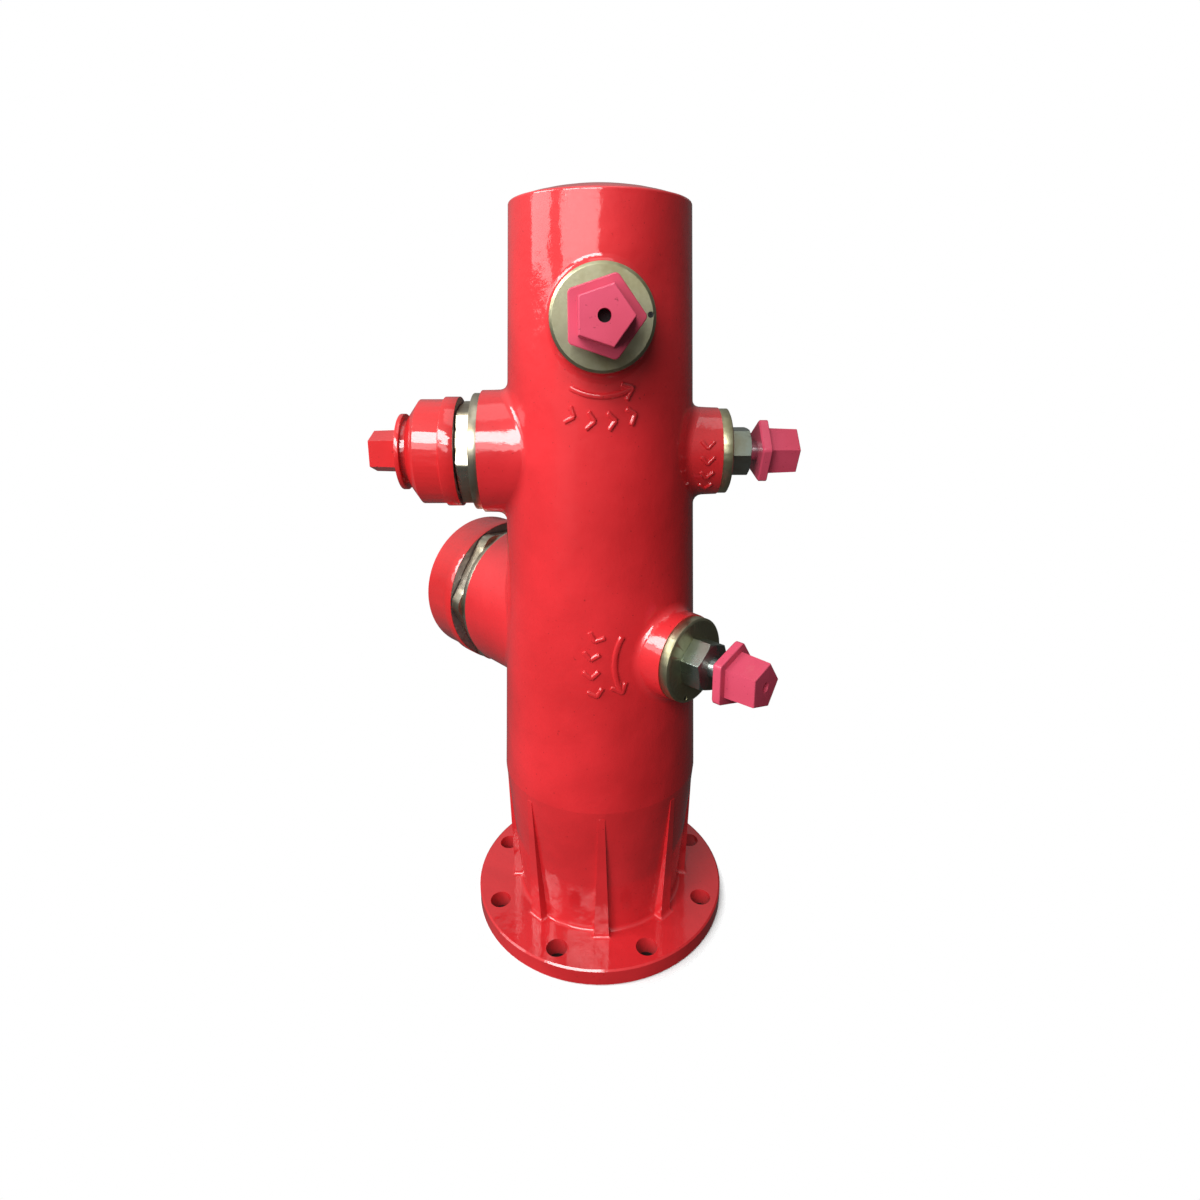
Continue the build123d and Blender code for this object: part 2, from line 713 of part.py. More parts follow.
def make_nozzle_ring(station):
    """O-ring in the nozzle's groove."""
    size = station.size
    azimuth = station.azimuth + 180
    middle = size.boss_end - 1.5 * RING_GROOVE_WIDTH
    centre = size.body_radius - RING_GROOVE_DEPTH + RING_SECTION + SEAT_GAP / 2
    with BuildPart() as ring:
        with BuildSketch(profile_plane(station.height, azimuth)):
            with Locations((middle, centre)):
                Circle(RING_SECTION)
        revolve(axis=fitting_axis(station.height, azimuth))
    ring.part.label = f"{station.name}_nozzle_o_ring"
    export_step(ring.part, f"parts/{ring.part.label}.step")


def make_cap_gasket(station):
    """Flat rubber gasket between the nozzle's end and the cap."""
    size = station.size
    with BuildPart() as gasket:
        plane = cross_plane(station.height, station.azimuth + 180, size.thread_end + THREAD_GAP)
        with BuildSketch(plane):
            Circle(size.thread_radius - SEAT_GAP)
            Circle(size.bore_radius, mode=Mode.SUBTRACT)
        extrude(amount=GASKET_THICKNESS)
    gasket.part.label = f"{station.name}_cap_gasket"
    export_step(gasket.part, f"parts/{gasket.part.label}.step")


def make_cap(station):
    """Cast outlet cap: rim, body, bevelled crown, neck, thin disc and pentagon nut."""
    size = station.size
    azimuth = station.azimuth + 180
    inner = size.thread_radius + THREAD_GAP
    floor = size.thread_end + THREAD_GAP + GASKET_THICKNESS + SEAT_GAP
    recess = size.cap_crown - size.cap_crown_wall
    with BuildPart() as cap:
        with BuildSketch(profile_plane(station.height, azimuth)):
            with BuildLine():
                Polyline(
                    (size.cap_mouth, inner),
                    (size.cap_mouth, size.cap_rim_radius),
                    (size.cap_rim_end, size.cap_rim_radius),
                    (size.cap_rim_end + CAP_STEP, size.cap_body_radius),
                    (size.cap_body_end, size.cap_body_radius),
                    (size.cap_crown, size.cap_crown_radius),
                    (size.cap_crown, size.neck_radius),
                    (size.disc_start, size.neck_radius),
                    (size.disc_start, size.disc_radius),
                    (size.disc_end, size.disc_radius),
                    (size.disc_end, 0),
                    (recess, 0),
                    (recess, size.bore_radius),
                    (floor, size.bore_radius),
                    (floor, inner),
                    close=True,
                )
            make_face()
        revolve(axis=fitting_axis(station.height, azimuth))
        with BuildSketch(profile_plane(station.height, azimuth)):
            with BuildLine():
                Polyline(
                    (size.cap_mouth - OVERRUN, inner - OVERRUN),
                    (size.cap_mouth - OVERRUN, size.cap_mouth_radius),
                    (size.cap_mouth + CAP_MOUTH_DEPTH, inner),
                    close=True,
                )
            make_face()
        revolve(axis=fitting_axis(station.height, azimuth), mode=Mode.SUBTRACT)
        with BuildSketch(cross_plane(station.height, azimuth, size.disc_end - OVERRUN)):
            RegularPolygon(CAP_NUT_BASE_RADIUS, PENTAGON_SIDES, rotation=CAP_NUT_TURN)
        with BuildSketch(cross_plane(station.height, azimuth, size.cap_nut_end)):
            RegularPolygon(CAP_NUT_END_RADIUS, PENTAGON_SIDES, rotation=CAP_NUT_TURN)
        loft()
    cap.part.label = f"{station.name}_cap"
    export_step(cap.part, f"parts/{cap.part.label}.step")


os.makedirs("parts", exist_ok=True)
make_barrel()
make_set_screws()
for place in STATIONS:
    make_insert(place)
    make_insert_ring(place)
    make_packing(place)
    make_gland_nut(place)
    make_disc_carrier(place)
    make_rubber_disc(place)
    make_retainer(place)
    make_stem(place)
    make_operating_nut(place)
    make_nut_screw(place)
    make_nozzle(place)
    make_nozzle_ring(place)
    make_cap_gasket(place)
    make_cap(place)
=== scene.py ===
"""Looks of the wet-barrel fire hydrant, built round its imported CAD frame. Lengths are metres."""
import json
import math

import bmesh
import bpy
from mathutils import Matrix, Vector
from mathutils.bvhtree import BVHTree


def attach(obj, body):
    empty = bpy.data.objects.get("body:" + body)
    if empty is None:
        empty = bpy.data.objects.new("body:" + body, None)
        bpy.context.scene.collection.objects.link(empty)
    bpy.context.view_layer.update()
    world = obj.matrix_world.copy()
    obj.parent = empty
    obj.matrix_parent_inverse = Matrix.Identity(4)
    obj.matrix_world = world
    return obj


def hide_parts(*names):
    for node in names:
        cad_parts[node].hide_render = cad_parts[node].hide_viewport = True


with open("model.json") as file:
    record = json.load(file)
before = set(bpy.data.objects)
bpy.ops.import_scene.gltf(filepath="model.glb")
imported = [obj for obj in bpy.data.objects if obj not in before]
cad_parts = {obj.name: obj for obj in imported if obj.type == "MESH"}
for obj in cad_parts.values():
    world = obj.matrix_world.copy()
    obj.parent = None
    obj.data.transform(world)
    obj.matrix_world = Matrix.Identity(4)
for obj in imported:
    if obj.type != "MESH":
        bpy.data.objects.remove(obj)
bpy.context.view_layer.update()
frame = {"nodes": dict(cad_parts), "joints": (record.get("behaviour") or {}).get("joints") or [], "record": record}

MM = 0.001
UP = Vector((0, 0, 1))
NODES = frame["nodes"]
RECORD = frame["record"]
JOINTS = {joint["name"]: joint for joint in frame["joints"]}
SLOT_OF = {item["node"]: item["material_slot"] for item in RECORD["subparts"]}
STATIONS = ("top", "middle", "lower")


# ------------------------------------------------------------------ places read from the frame
def stem_axis(name):
    """Origin on the barrel's axis, and outward direction, of a valve's stem."""
    joint = JOINTS[f"{name}_stem_turn"]
    return Vector(joint["pos_m"]), Vector(joint["axis"]).normalized()


def outlet_axis(name):
    """Origin and outward direction of an outlet, which is opposite its valve."""
    origin, outward = stem_axis(name)
    return origin, -outward


def stations_of(node, origin, axis):
    """Lowest and highest station of a CAD node along an axis."""
    along = [(vertex.co - origin).dot(axis) for vertex in NODES[node].data.vertices]
    return min(along), max(along)


def widest(node, origin, axis):
    """Largest radius of a CAD node round an axis."""
    return max((vertex.co - origin).cross(axis).length for vertex in NODES[node].data.vertices)


def thread_pitch(name):
    """Pitch of a cap's thread, from the coupling that drives its travel."""
    couplings = RECORD["behaviour"]["couplings"]
    travel = next(item for item in couplings if item["joint"] == f"{name}_cap_travel")
    return travel["ratio"] * 2 * math.pi


def node_tree(node):
    """Search tree over a CAD node's faces."""
    mesh = NODES[node].data
    corners = [vertex.co for vertex in mesh.vertices]
    return BVHTree.FromPolygons(corners, [tuple(polygon.vertices) for polygon in mesh.polygons])


# ------------------------------------------------------------------ material helpers
SURFACE_IOR = 1.5
# A Mix node has a set of sockets for each kind of value.
MIX_SHARE = 0
MIX_NUMBERS = (2, 3)
MIX_NUMBER_RESULT = 0
MIX_COLORS = (6, 7)
MIX_COLOR_RESULT = 2


class Shader:
    """A node material with one Principled surface, and short calls for the nodes that feed it."""

    def __init__(self, name, color, roughness, metallic=0.0):
        self.material = bpy.data.materials.new(name)
        self.material.use_nodes = True
        self.tree = self.material.node_tree
        self.surface = self.tree.nodes["Principled BSDF"]
        self.set("Base Color", (*color, 1.0))
        self.set("Roughness", roughness)
        self.set("Metallic", metallic)
        self.set("IOR", SURFACE_IOR)
        self.place = self.tree.nodes.new("ShaderNodeTexCoord").outputs["Object"]

    def set(self, socket, value):
        self.surface.inputs[socket].default_value = value

    def feed(self, socket, output):
        self.tree.links.new(output, self.surface.inputs[socket])

    def node(self, kind, inputs, **settings):
        """New node. Each input is another node's output or a constant."""
        made = self.tree.nodes.new(kind)
        for key, value in settings.items():
            setattr(made, key, value)
        for key, value in inputs.items():
            if isinstance(value, bpy.types.NodeSocket):
                self.tree.links.new(value, made.inputs[key])
            else:
                made.inputs[key].default_value = value
        return made

    def noise(self, scale, detail, rough=0.5):
        """Fractal noise from 0 to 1 over the object's own coordinates."""
        inputs = {"Vector": self.place, "Scale": scale, "Detail": detail, "Roughness": rough}
        return self.node("ShaderNodeTexNoise", inputs).outputs["Fac"]

    def ramp(self, value, low, high, out_low=0.0, out_high=1.0):
        """Straight ramp between two values, held level outside them."""
        inputs = {"Value": value, "From Min": low, "From Max": high, "To Min": out_low, "To Max": out_high}
        return self.node("ShaderNodeMapRange", inputs).outputs["Result"]

    def combine(self, operation, first, second):
        """Arithmetic on two numbers."""
        return self.node("ShaderNodeMath", {0: first, 1: second}, operation=operation).outputs[0]

    def vector(self, operation, *terms):
        """Vector arithmetic. A dot product or a length gives a number."""
        made = self.node("ShaderNodeVectorMath", dict(enumerate(terms)), operation=operation)
        return made.outputs["Value" if operation in ("DOT_PRODUCT", "LENGTH") else "Vector"]

    def mix(self, share, first, second):
        """Mix two colours, each a socket or an RGB tuple."""
        inputs = {MIX_SHARE: share}
        for key, color in zip(MIX_COLORS, (first, second)):
            inputs[key] = (*color, 1.0) if isinstance(color, tuple) else color
        return self.node("ShaderNodeMix", inputs, data_type="RGBA").outputs[MIX_COLOR_RESULT]

    def bump(self, height, depth, strength=0.5, below=None):
        """Normal of a rough surface, over another one if `below` is given."""
        inputs = {"Height": height, "Distance": depth, "Strength": strength}
        if below is not None:
            inputs["Normal"] = below
        return self.node("ShaderNodeBump", inputs).outputs["Normal"]

    def finish(self, color, roughness=None, normal=None):
        self.feed("Base Color", color)
        if roughness is not None:
            self.feed("Roughness", roughness)
        if normal is not None:
            self.feed("Normal", normal)
            self.feed("Coat Normal", normal)
        return self.material


def tinted(color, factors):
    """Colour with each channel scaled by its own factor."""
    return tuple(channel * factor for channel, factor in zip(color, factors))


# ------------------------------------------------------------------ paint
BARREL_RED = (0.55, 0.014, 0.018)
CAP_RED = (0.55, 0.012, 0.014)
NUT_PINK = (0.54, 0.055, 0.100)
PAINT_ROUGHNESS = 0.5
PAINT_SPECULAR = 0.15
PAINT_DEEP = (0.80, 0.80, 0.80)
PAINT_WARM = (1.03, 1.25, 1.25)
PAINT_PIT = (0.45, 0.45, 0.45)
GLOSS_COAT = 0.9
SATIN_COAT = 0.25
COAT_ROUGHNESS = 0.085
COAT_IOR = 1.75
BARREL_RIPPLE = 1.0
CAP_RIPPLE = 0.35
NUT_RIPPLE = 0.5
WAVE_DEPTH = 1.6 * MM
GRAIN_DEPTH = 0.22 * MM
IRON_DARK = (0.22, 0.18, 0.18)
IRON_LIGHT = (0.42, 0.38, 0.38)
BARE_DEPTH = 0.5 * MM


def gloss_red(name, color, ripple, coat, bare=None):
    """Thick brushed-on enamel over a rough casting. `bare` gives a mask of its unpainted faces."""
    paint = Shader(name, color, PAINT_ROUGHNESS)
    paint.set("Specular IOR Level", PAINT_SPECULAR)
    paint.set("Coat Weight", coat)
    paint.set("Coat Roughness", COAT_ROUGHNESS)
    paint.set("Coat IOR", COAT_IOR)
    cloud = paint.noise(9.0, detail=3.0)
    speck = paint.noise(420.0, detail=2.0)
    waves = paint.noise(38.0, detail=2.0)
    grain = paint.noise(260.0, detail=3.0, rough=0.6)
    tone = paint.mix(paint.ramp(cloud, 0.35, 0.65), tinted(color, PAINT_DEEP), tinted(color, PAINT_WARM))
    tone = paint.mix(paint.ramp(speck, 0.70, 0.76), tone, tinted(color, PAINT_PIT))
    normal = paint.bump(waves, WAVE_DEPTH * ripple)
    normal = paint.bump(grain, GRAIN_DEPTH * ripple, below=normal)
    rough = paint.ramp(grain, 0.3, 0.7, PAINT_ROUGHNESS * 0.8, PAINT_ROUGHNESS * 1.3)
    if bare is not None:
        mask = bare(paint)
        tone = paint.mix(mask, tone, paint.mix(cloud, IRON_DARK, IRON_LIGHT))
        paint.feed("Metallic", mask)
        paint.feed("Coat Weight", paint.ramp(mask, 0.0, 1.0, coat, 0.0))
    return paint.finish(tone, rough, normal)


def bare_mouth(name):
    """Mask of a cap's machined faces: the mouth's end face, and the threaded inside."""
    origin, outward = outlet_axis(name)
    mouth = stations_of(f"{name}_cap", origin, outward)[0]
    seat = stations_of(f"{name}_cap_gasket", origin, outward)[1]
    rim = widest(f"{name}_cap", origin, outward)
    inside = widest(f"{name}_cap_gasket", origin, outward)

    def mask(paint):
        away = paint.vector("SUBTRACT", paint.place, origin)
        along = paint.vector("DOT_PRODUCT", away, outward)
        radius = paint.vector("LENGTH", paint.vector("CROSS_PRODUCT", away, outward))

        def within(station, reach):
            near = paint.combine("LESS_THAN", along, station + BARE_DEPTH)
            return paint.combine("MULTIPLY", near, paint.combine("LESS_THAN", radius, reach))

        face = within(mouth, rim - BARE_DEPTH)
        bore = within(seat, inside + 2 * BARE_DEPTH)
        return paint.combine("MAXIMUM", face, bore)

    return mask


def cap_enamel(name):
    """Paint of one cap, with its mouth left bare."""
    return gloss_red(f"{name}_cap_enamel", CAP_RED, CAP_RIPPLE, GLOSS_COAT, bare_mouth(name))


# ------------------------------------------------------------------ metal and rubber
BRASS = (0.52, 0.51, 0.34)
BRASS_STAIN = (0.30, 0.28, 0.16)
NOZZLE_BRASS = (0.62, 0.60, 0.48)
NOZZLE_STAIN = (0.32, 0.26, 0.17)
BRONZE = (0.36, 0.43, 0.38)
BRONZE_STAIN = (0.22, 0.22, 0.16)
BRIGHT_STEEL = (0.72, 0.76, 0.78)
BLACK_STEEL = (0.06, 0.06, 0.06)
BLACK_RUBBER = (0.025, 0.025, 0.025)
GRAPHITE = (0.05, 0.05, 0.048)
STEEL_DULL = (0.8, 0.8, 0.8)
RUBBER_PALE = (1.6, 1.6, 1.6)


def brass(name, color, stain, roughness):
    """Turned copper alloy, dulled and stained."""
    metal = Shader(name, color, roughness, metallic=1.0)
    cloud = metal.noise(26.0, detail=4.0, rough=0.6)
    fine = metal.noise(520.0, detail=3.0, rough=0.6)
    tone = metal.mix(metal.ramp(cloud, 0.38, 0.66), color, stain)
    rough = metal.ramp(cloud, 0.3, 0.7, roughness * 0.8, roughness * 1.4)
    return metal.finish(tone, rough, metal.bump(fine, 0.12 * MM))


def steel(name, color, roughness):
    """Turned steel of a stem or a screw."""
    metal = Shader(name, color, roughness, metallic=1.0)
    cloud = metal.noise(40.0, detail=2.0)
    fine = metal.noise(900.0, detail=2.0)
    tone = metal.mix(metal.ramp(cloud, 0.4, 0.6), color, tinted(color, STEEL_DULL))
    return metal.finish(tone, normal=metal.bump(fine, 0.05 * MM, strength=0.4))


def rubber(name, color):
    """Moulded black rubber."""
    soft = Shader(name, color, roughness=0.6)
    cloud = soft.noise(60.0, detail=2.0)
    fine = soft.noise(700.0, detail=3.0, rough=0.6)
    tone = soft.mix(soft.ramp(cloud, 0.3, 0.7), color, tinted(color, RUBBER_PALE))
    return soft.finish(tone, soft.ramp(fine, 0.3, 0.7, 0.5, 0.75), soft.bump(fine, 0.1 * MM))


# ------------------------------------------------------------------ materials of the CAD nodes
BARREL_PAINT = gloss_red("barrel_enamel", BARREL_RED, BARREL_RIPPLE, GLOSS_COAT)
NOZZLE_METAL = brass("turned_nozzle_brass", NOZZLE_BRASS, NOZZLE_STAIN, 0.28)
CAP_PAINTS = {f"{name}_cap": cap_enamel(name) for name in STATIONS}
MATERIALS = {
    "barrel_paint": BARREL_PAINT,
    "nut_paint": gloss_red("nut_enamel", NUT_PINK, NUT_RIPPLE, SATIN_COAT),
    "brass": brass("dull_brass", BRASS, BRASS_STAIN, 0.36),
    "bronze": brass("grey_bronze", BRONZE, BRONZE_STAIN, 0.30),
    "stem_metal": steel("bright_stem", BRIGHT_STEEL, 0.22),
    "screw_steel": steel("dark_screw", BLACK_STEEL, 0.45),
    "rubber": rubber("black_rubber", BLACK_RUBBER),
    "packing": rubber("graphite_packing", GRAPHITE),
}
WELD_DISTANCE = 0.001 * MM
EDGE_ANGLE = math.radians(30)
EDGE_SEGMENTS = 2
EDGE_WIDTH = {
    "cap_paint": 0.9 * MM,
    "nut_paint": 1.1 * MM,
    "brass": 0.5 * MM,
    "bronze": 0.4 * MM,
    "stem_metal": 0.2 * MM,
}


def material_of(node):
    """Each cap has a material of its own, and any other node has its slot's."""
    return CAP_PAINTS[node] if node in CAP_PAINTS else MATERIALS[SLOT_OF[node]]


def dress(obj, material):
    """Give an object one material."""
    obj.data.materials.clear()
    obj.data.materials.append(material)


def soften(obj, width):
    """Round the sharp edges of a CAD node, and harden the normals beside them."""
    weld = obj.modifiers.new("weld", "WELD")
    weld.merge_threshold = WELD_DISTANCE
    bevel = obj.modifiers.new("edges", "BEVEL")
    bevel.width = width
    bevel.segments = EDGE_SEGMENTS
    bevel.limit_method = "ANGLE"
    bevel.angle_limit = EDGE_ANGLE
    bevel.harden_normals = True
    bevel.use_clamp_overlap = True


# ------------------------------------------------------------------ mesh helpers
def make_object(name, vertices, faces, material, smooth_angle):
    """Fixed mesh piece, shaded smooth, with the edges over an angle in degrees kept crisp."""
    mesh = bpy.data.meshes.new(name)
    mesh.from_pydata([tuple(vertex) for vertex in vertices], [], faces)
    mesh.validate()
    made = bmesh.new()
    made.from_mesh(mesh)
    bmesh.ops.recalc_face_normals(made, faces=made.faces)
    made.to_mesh(mesh)
    made.free()
    for polygon in mesh.polygons:
        polygon.use_smooth = True
    mesh.set_sharp_from_angle(angle=math.radians(smooth_angle))
    piece = bpy.data.objects.new(name, mesh)
    bpy.context.scene.collection.objects.link(piece)
    dress(piece, material)
    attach(piece, "root")
    return piece


def grid_faces(rows, columns, closed=False):
    """Quads over a grid of vertices that is numbered row by row. `closed` joins both ways round."""
    faces = []
    for row in range(rows if closed else rows - 1):
        for column in range(columns if closed else columns - 1):
            below, beside = (row + 1) % rows, (column + 1) % columns
            corners = ((row, column), (row, beside), (below, beside), (below, column))
            faces.append(tuple(at * columns + along for at, along in corners))
    return faces


# ------------------------------------------------------------------ nozzles, with their hose threads
LATHE_SEGMENTS = 180
NOZZLE_SMOOTH_ANGLE = 28
NOZZLE_EDGE = 0.8 * MM
HEX_EDGE = 0.7 * MM
EDGE_SHARE = 0.3
HEX_FOOT_SHARE = 1.5
SEAT_RISE = 2 * MM
NOSE_TRIM = 0.2 * MM
NOSE_LENGTH = 3 * MM
RING_FLAT = 1.5 * MM
NEAR = 0.05 * MM
THREAD_ROWS_PER_PITCH = 10
THREAD_DEPTH_SHARE = 0.52
THREAD_RUNOUT = 1.6 * MM
THREAD_STEEPNESS = 2.2
THREAD_ROOT_WIDTH = 0.35
RAY_START = 0.4


def read_nozzle(name):
    """Stations and radii of a nozzle, from its CAD node, and the depth of its thread."""
    origin, outward = outlet_axis(name)
    side = outward.cross(UP)
    points = []
    for vertex in NODES[f"{name}_nozzle"].data.vertices:
        away = vertex.co - origin
        along = away.dot(outward)
        points.append((along, (away - outward * along).length))
    size = {"origin": origin, "outward": outward, "side": side, "pitch": thread_pitch(name)}
    size["seat"] = min(along for along, radius in points)
    size["end"] = max(along for along, radius in points)
    size["bore"] = min(radius for along, radius in points)
    past = [(along, radius) for along, radius in points if radius > size["bore"] + NEAR]
    size["major"] = max(radius for along, radius in past if along > size["end"] - NOSE_LENGTH)
    size["root"] = size["major"] - size["pitch"] * THREAD_DEPTH_SHARE
    wide = [(along, radius) for along, radius in past if radius > size["major"] + MM]
    size["hex_end"] = max(along for along, radius in wide)
    size["ring_end"] = max(along for along, radius in wide if along < size["hex_end"] - NEAR)
    ring_flat = (size["ring_end"] - RING_FLAT, size["ring_end"] - NEAR)
    size["ring"] = max(radius for along, radius in wide if ring_flat[0] < along < ring_flat[1])
    size["boss_end"] = min(along for along, radius in past if radius > size["ring"] - NEAR)
    size["body"] = max(radius for along, radius in past if along < size["boss_end"] - MM)
    return size


def spoke_at(size, step):
    """Unit vector across the nozzle's axis for a step round it."""
    around = 2 * math.pi * step / LATHE_SEGMENTS
    return UP * math.cos(around) + size["side"] * math.sin(around)


def read_hexagon(name, size):
    """Radius of the hexagon for each step round the nozzle."""
    tree = node_tree(f"{name}_nozzle")
    centre = size["origin"] + size["outward"] * (size["ring_end"] + size["hex_end"]) / 2
    radii = []
    for step in range(LATHE_SEGMENTS):
        spoke = spoke_at(size, step)
        hit = tree.ray_cast(centre + spoke * RAY_START, -spoke)[0]
        radii.append((hit - centre).length)
    return radii


def round_row(radius):
    """Radii of a round row."""
    return [radius] * LATHE_SEGMENTS


def trimmed_row(radii, limit):
    """Radii of a row that is turned down to a limit."""
    return [min(radius, limit) for radius in radii]


def thread_row(size, station):
    """Radii of a row across the helical thread, which runs out at both ends."""
    from_hex = station - size["hex_end"]
    run = min(from_hex - size["pitch"] / 2, size["end"] - station) / THREAD_RUNOUT
    height = (size["major"] - size["root"]) * min(1.0, max(0.0, run))
    radii = []
    for step in range(LATHE_SEGMENTS):
        phase = (from_hex / size["pitch"] - step / LATHE_SEGMENTS) % 1.0
        crest = THREAD_STEEPNESS * (1 - abs(2 * phase - 1)) - THREAD_ROOT_WIDTH
        radii.append(size["root"] + height * min(1.0, max(0.0, crest)))
    return radii


def nozzle_rows(size, hexagon):
    """Stations and radii from the seat over the outside to the nose, and back into the bore."""
    seat, boss_end, ring_end = size["seat"], size["boss_end"], size["ring_end"]
    hex_end, end = size["hex_end"], size["end"]
    bore, body, ring, root = size["bore"], size["body"], size["ring"], size["root"]
    middle = (bore + body) / 2
    edge, part_edge = NOZZLE_EDGE, NOZZLE_EDGE * EDGE_SHARE
    rows = [
        (seat, round_row(bore)),
        (seat, round_row(middle)),
        (seat + SEAT_RISE, round_row(middle)),
        (seat + SEAT_RISE, round_row(body)),
        (boss_end, round_row(body)),
        (boss_end, round_row(ring - edge)),
        (boss_end + part_edge, round_row(ring - part_edge)),
        (boss_end + edge, round_row(ring)),
        (ring_end - edge, round_row(ring)),
        (ring_end - part_edge, round_row(ring - part_edge)),
        (ring_end, round_row(ring - edge)),
        (ring_end, trimmed_row(hexagon, ring - edge * HEX_FOOT_SHARE)),
        (ring_end + edge, hexagon),
        (hex_end - HEX_EDGE * 2, hexagon),
        (hex_end - HEX_EDGE, trimmed_row(hexagon, max(hexagon) - HEX_EDGE)),
        (hex_end, trimmed_row(hexagon, min(hexagon) + HEX_EDGE)),
        (hex_end, round_row(root)),
    ]
    count = math.ceil((end - hex_end) / size["pitch"] * THREAD_ROWS_PER_PITCH)
    for index in range(1, count):
        station = hex_end + (end - hex_end) * index / count
        rows.append((station, thread_row(size, station)))
    rows.append((end, round_row(root - NOSE_TRIM)))
    rows.append((end, round_row(bore + edge)))
    rows.append((end - edge, round_row(bore)))
    return rows


def make_nozzle(name):
    """Turned brass nozzle: body, ring, hexagon, helical hose thread and bore."""
    size = read_nozzle(name)
    rows = nozzle_rows(size, read_hexagon(name, size))
    vertices = []
    for station, radii in rows:
        centre = size["origin"] + size["outward"] * station
        vertices += [centre + spoke_at(size, step) * radius for step, radius in enumerate(radii)]
    faces = grid_faces(len(rows), LATHE_SEGMENTS, closed=True)
    piece = make_object(
        f"{name}_threaded_nozzle", vertices, faces, NOZZLE_METAL, NOZZLE_SMOOTH_ANGLE
    )
    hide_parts(f"{name}_nozzle")


# ------------------------------------------------------------------ cast arrows and chevrons
STROKE_HEIGHT = 2.0 * MM
STROKE_SHOULDER = 1.6 * MM
STROKE_SINK = 0.8 * MM
STROKE_SLOPE = 0.9 * MM
STROKE_STEPS = 14
LINE_STEPS = 4
STROKE_SMOOTH_ANGLE = 60
ARROW_RADIUS = 61 * MM
ARROW_WIDTH = 4.2 * MM
ARROW_HALF_SWEEP = 27
BARB_SWEEP = 8
BARB_REACH = 1.6 * ARROW_WIDTH
BARB_WIDTH = 0.8 * ARROW_WIDTH
CHEVRON_RADIUS = 82 * MM
CHEVRON_HEIGHT = 7.0 * MM
CHEVRON_REACH = 3.2 * MM
CHEVRON_WIDTH = 3.4 * MM
CHEVRON_SPACING = 13.0
CHEVRON_COUNT = 4
WRAP_RADIUS = 92 * MM
BOSS_MARK_STATION = 99 * MM
BOSS_MARK_RADIUS = 43 * MM
BOSS_MARK_START = 12 * MM
BOSS_MARK_SPACING = 14.5 * MM
BOSS_CHEVRON_HEIGHT = 0.85 * CHEVRON_HEIGHT
BOSS_CHEVRON_WIDTH = 0.8 * CHEVRON_WIDTH


def stroke(path, width, lay):
    """Raised stroke along a flat path. `lay` puts a flat point and a height on the casting."""
    across = [
        (-width / 2 - STROKE_SLOPE, -STROKE_SINK),
        (-width / 2, STROKE_SHOULDER),
        (-width / 4, STROKE_HEIGHT),
        (width / 4, STROKE_HEIGHT),
        (width / 2, STROKE_SHOULDER),
        (width / 2 + STROKE_SLOPE, -STROKE_SINK),
    ]
    points = [Vector(point) for point in path]
    first = points[0] - (points[1] - points[0]).normalized() * STROKE_SLOPE
    last = points[-1] + (points[-1] - points[-2]).normalized() * STROKE_SLOPE
    points = [first, *points, last]
    vertices = []
    for index, point in enumerate(points):
        ahead = points[min(index + 1, len(points) - 1)] - points[max(index - 1, 0)]
        normal = Vector((-ahead.y, ahead.x)).normalized()
        at_end = index in (0, len(points) - 1)
        for offset, height in across:
            vertices.append(lay(point + normal * offset, -STROKE_SINK if at_end else height))
    faces = grid_faces(len(points), len(across))
    left = [row * len(across) for row in range(len(points))]
    right = [row * len(across) + len(across) - 1 for row in range(len(points))]
    faces.append(tuple(left + right[::-1]))
    return vertices, faces


def polar(radius, degrees):
    """Flat point at a radius and an angle."""
    return radius * math.cos(math.radians(degrees)), radius * math.sin(math.radians(degrees))


def arc_path(radius, start, end):
    """Flat points along an arc. Angles in degrees, counterclockwise as seen from outside."""
    return [polar(radius, start + (end - start) * step / STROKE_STEPS) for step in range(STROKE_STEPS + 1)]


def line_path(start, end):
    """Flat points along a straight line."""
    start, end = Vector(start), Vector(end)
    return [start.lerp(end, step / LINE_STEPS) for step in range(LINE_STEPS + 1)]


def chevron(radius, turn):
    """Two strokes that meet at a point, which looks counterclockwise."""
    back = math.degrees(2 * CHEVRON_REACH / radius)
    point = polar(radius, turn + back / 2)
    strokes = []
    for side in (-1, 1):
        foot = polar(radius + side * CHEVRON_HEIGHT, turn - back / 2)
        strokes.append((line_path(point, foot), CHEVRON_WIDTH))
    return strokes


def opening_marks(centre):
    """Strokes of the opening mark: an arc with an arrowhead, and a row of chevrons outside it."""
    tip = centre + ARROW_HALF_SWEEP
    strokes = [(arc_path(ARROW_RADIUS, centre - ARROW_HALF_SWEEP, tip), ARROW_WIDTH)]
    for side in (-1, 1):
        barb = polar(ARROW_RADIUS + side * BARB_REACH, tip - BARB_SWEEP)
        strokes.append((line_path(polar(ARROW_RADIUS, tip), barb), BARB_WIDTH))
    for index in range(CHEVRON_COUNT):
        turn = centre + (index - (CHEVRON_COUNT - 1) / 2) * CHEVRON_SPACING
        strokes += chevron(CHEVRON_RADIUS, turn)
    return strokes


def boss_marks():
    """Chevrons that point down round the boss: the opening direction on its near side."""
    strokes = []
    for index in range(CHEVRON_COUNT):
        middle = BOSS_MARK_START - BOSS_MARK_SPACING * index
        point = (0, middle - CHEVRON_REACH)
        for side in (-1, 1):
            foot = (side * BOSS_CHEVRON_HEIGHT, middle + CHEVRON_REACH)
            strokes.append((line_path(point, foot), BOSS_CHEVRON_WIDTH))
    return strokes


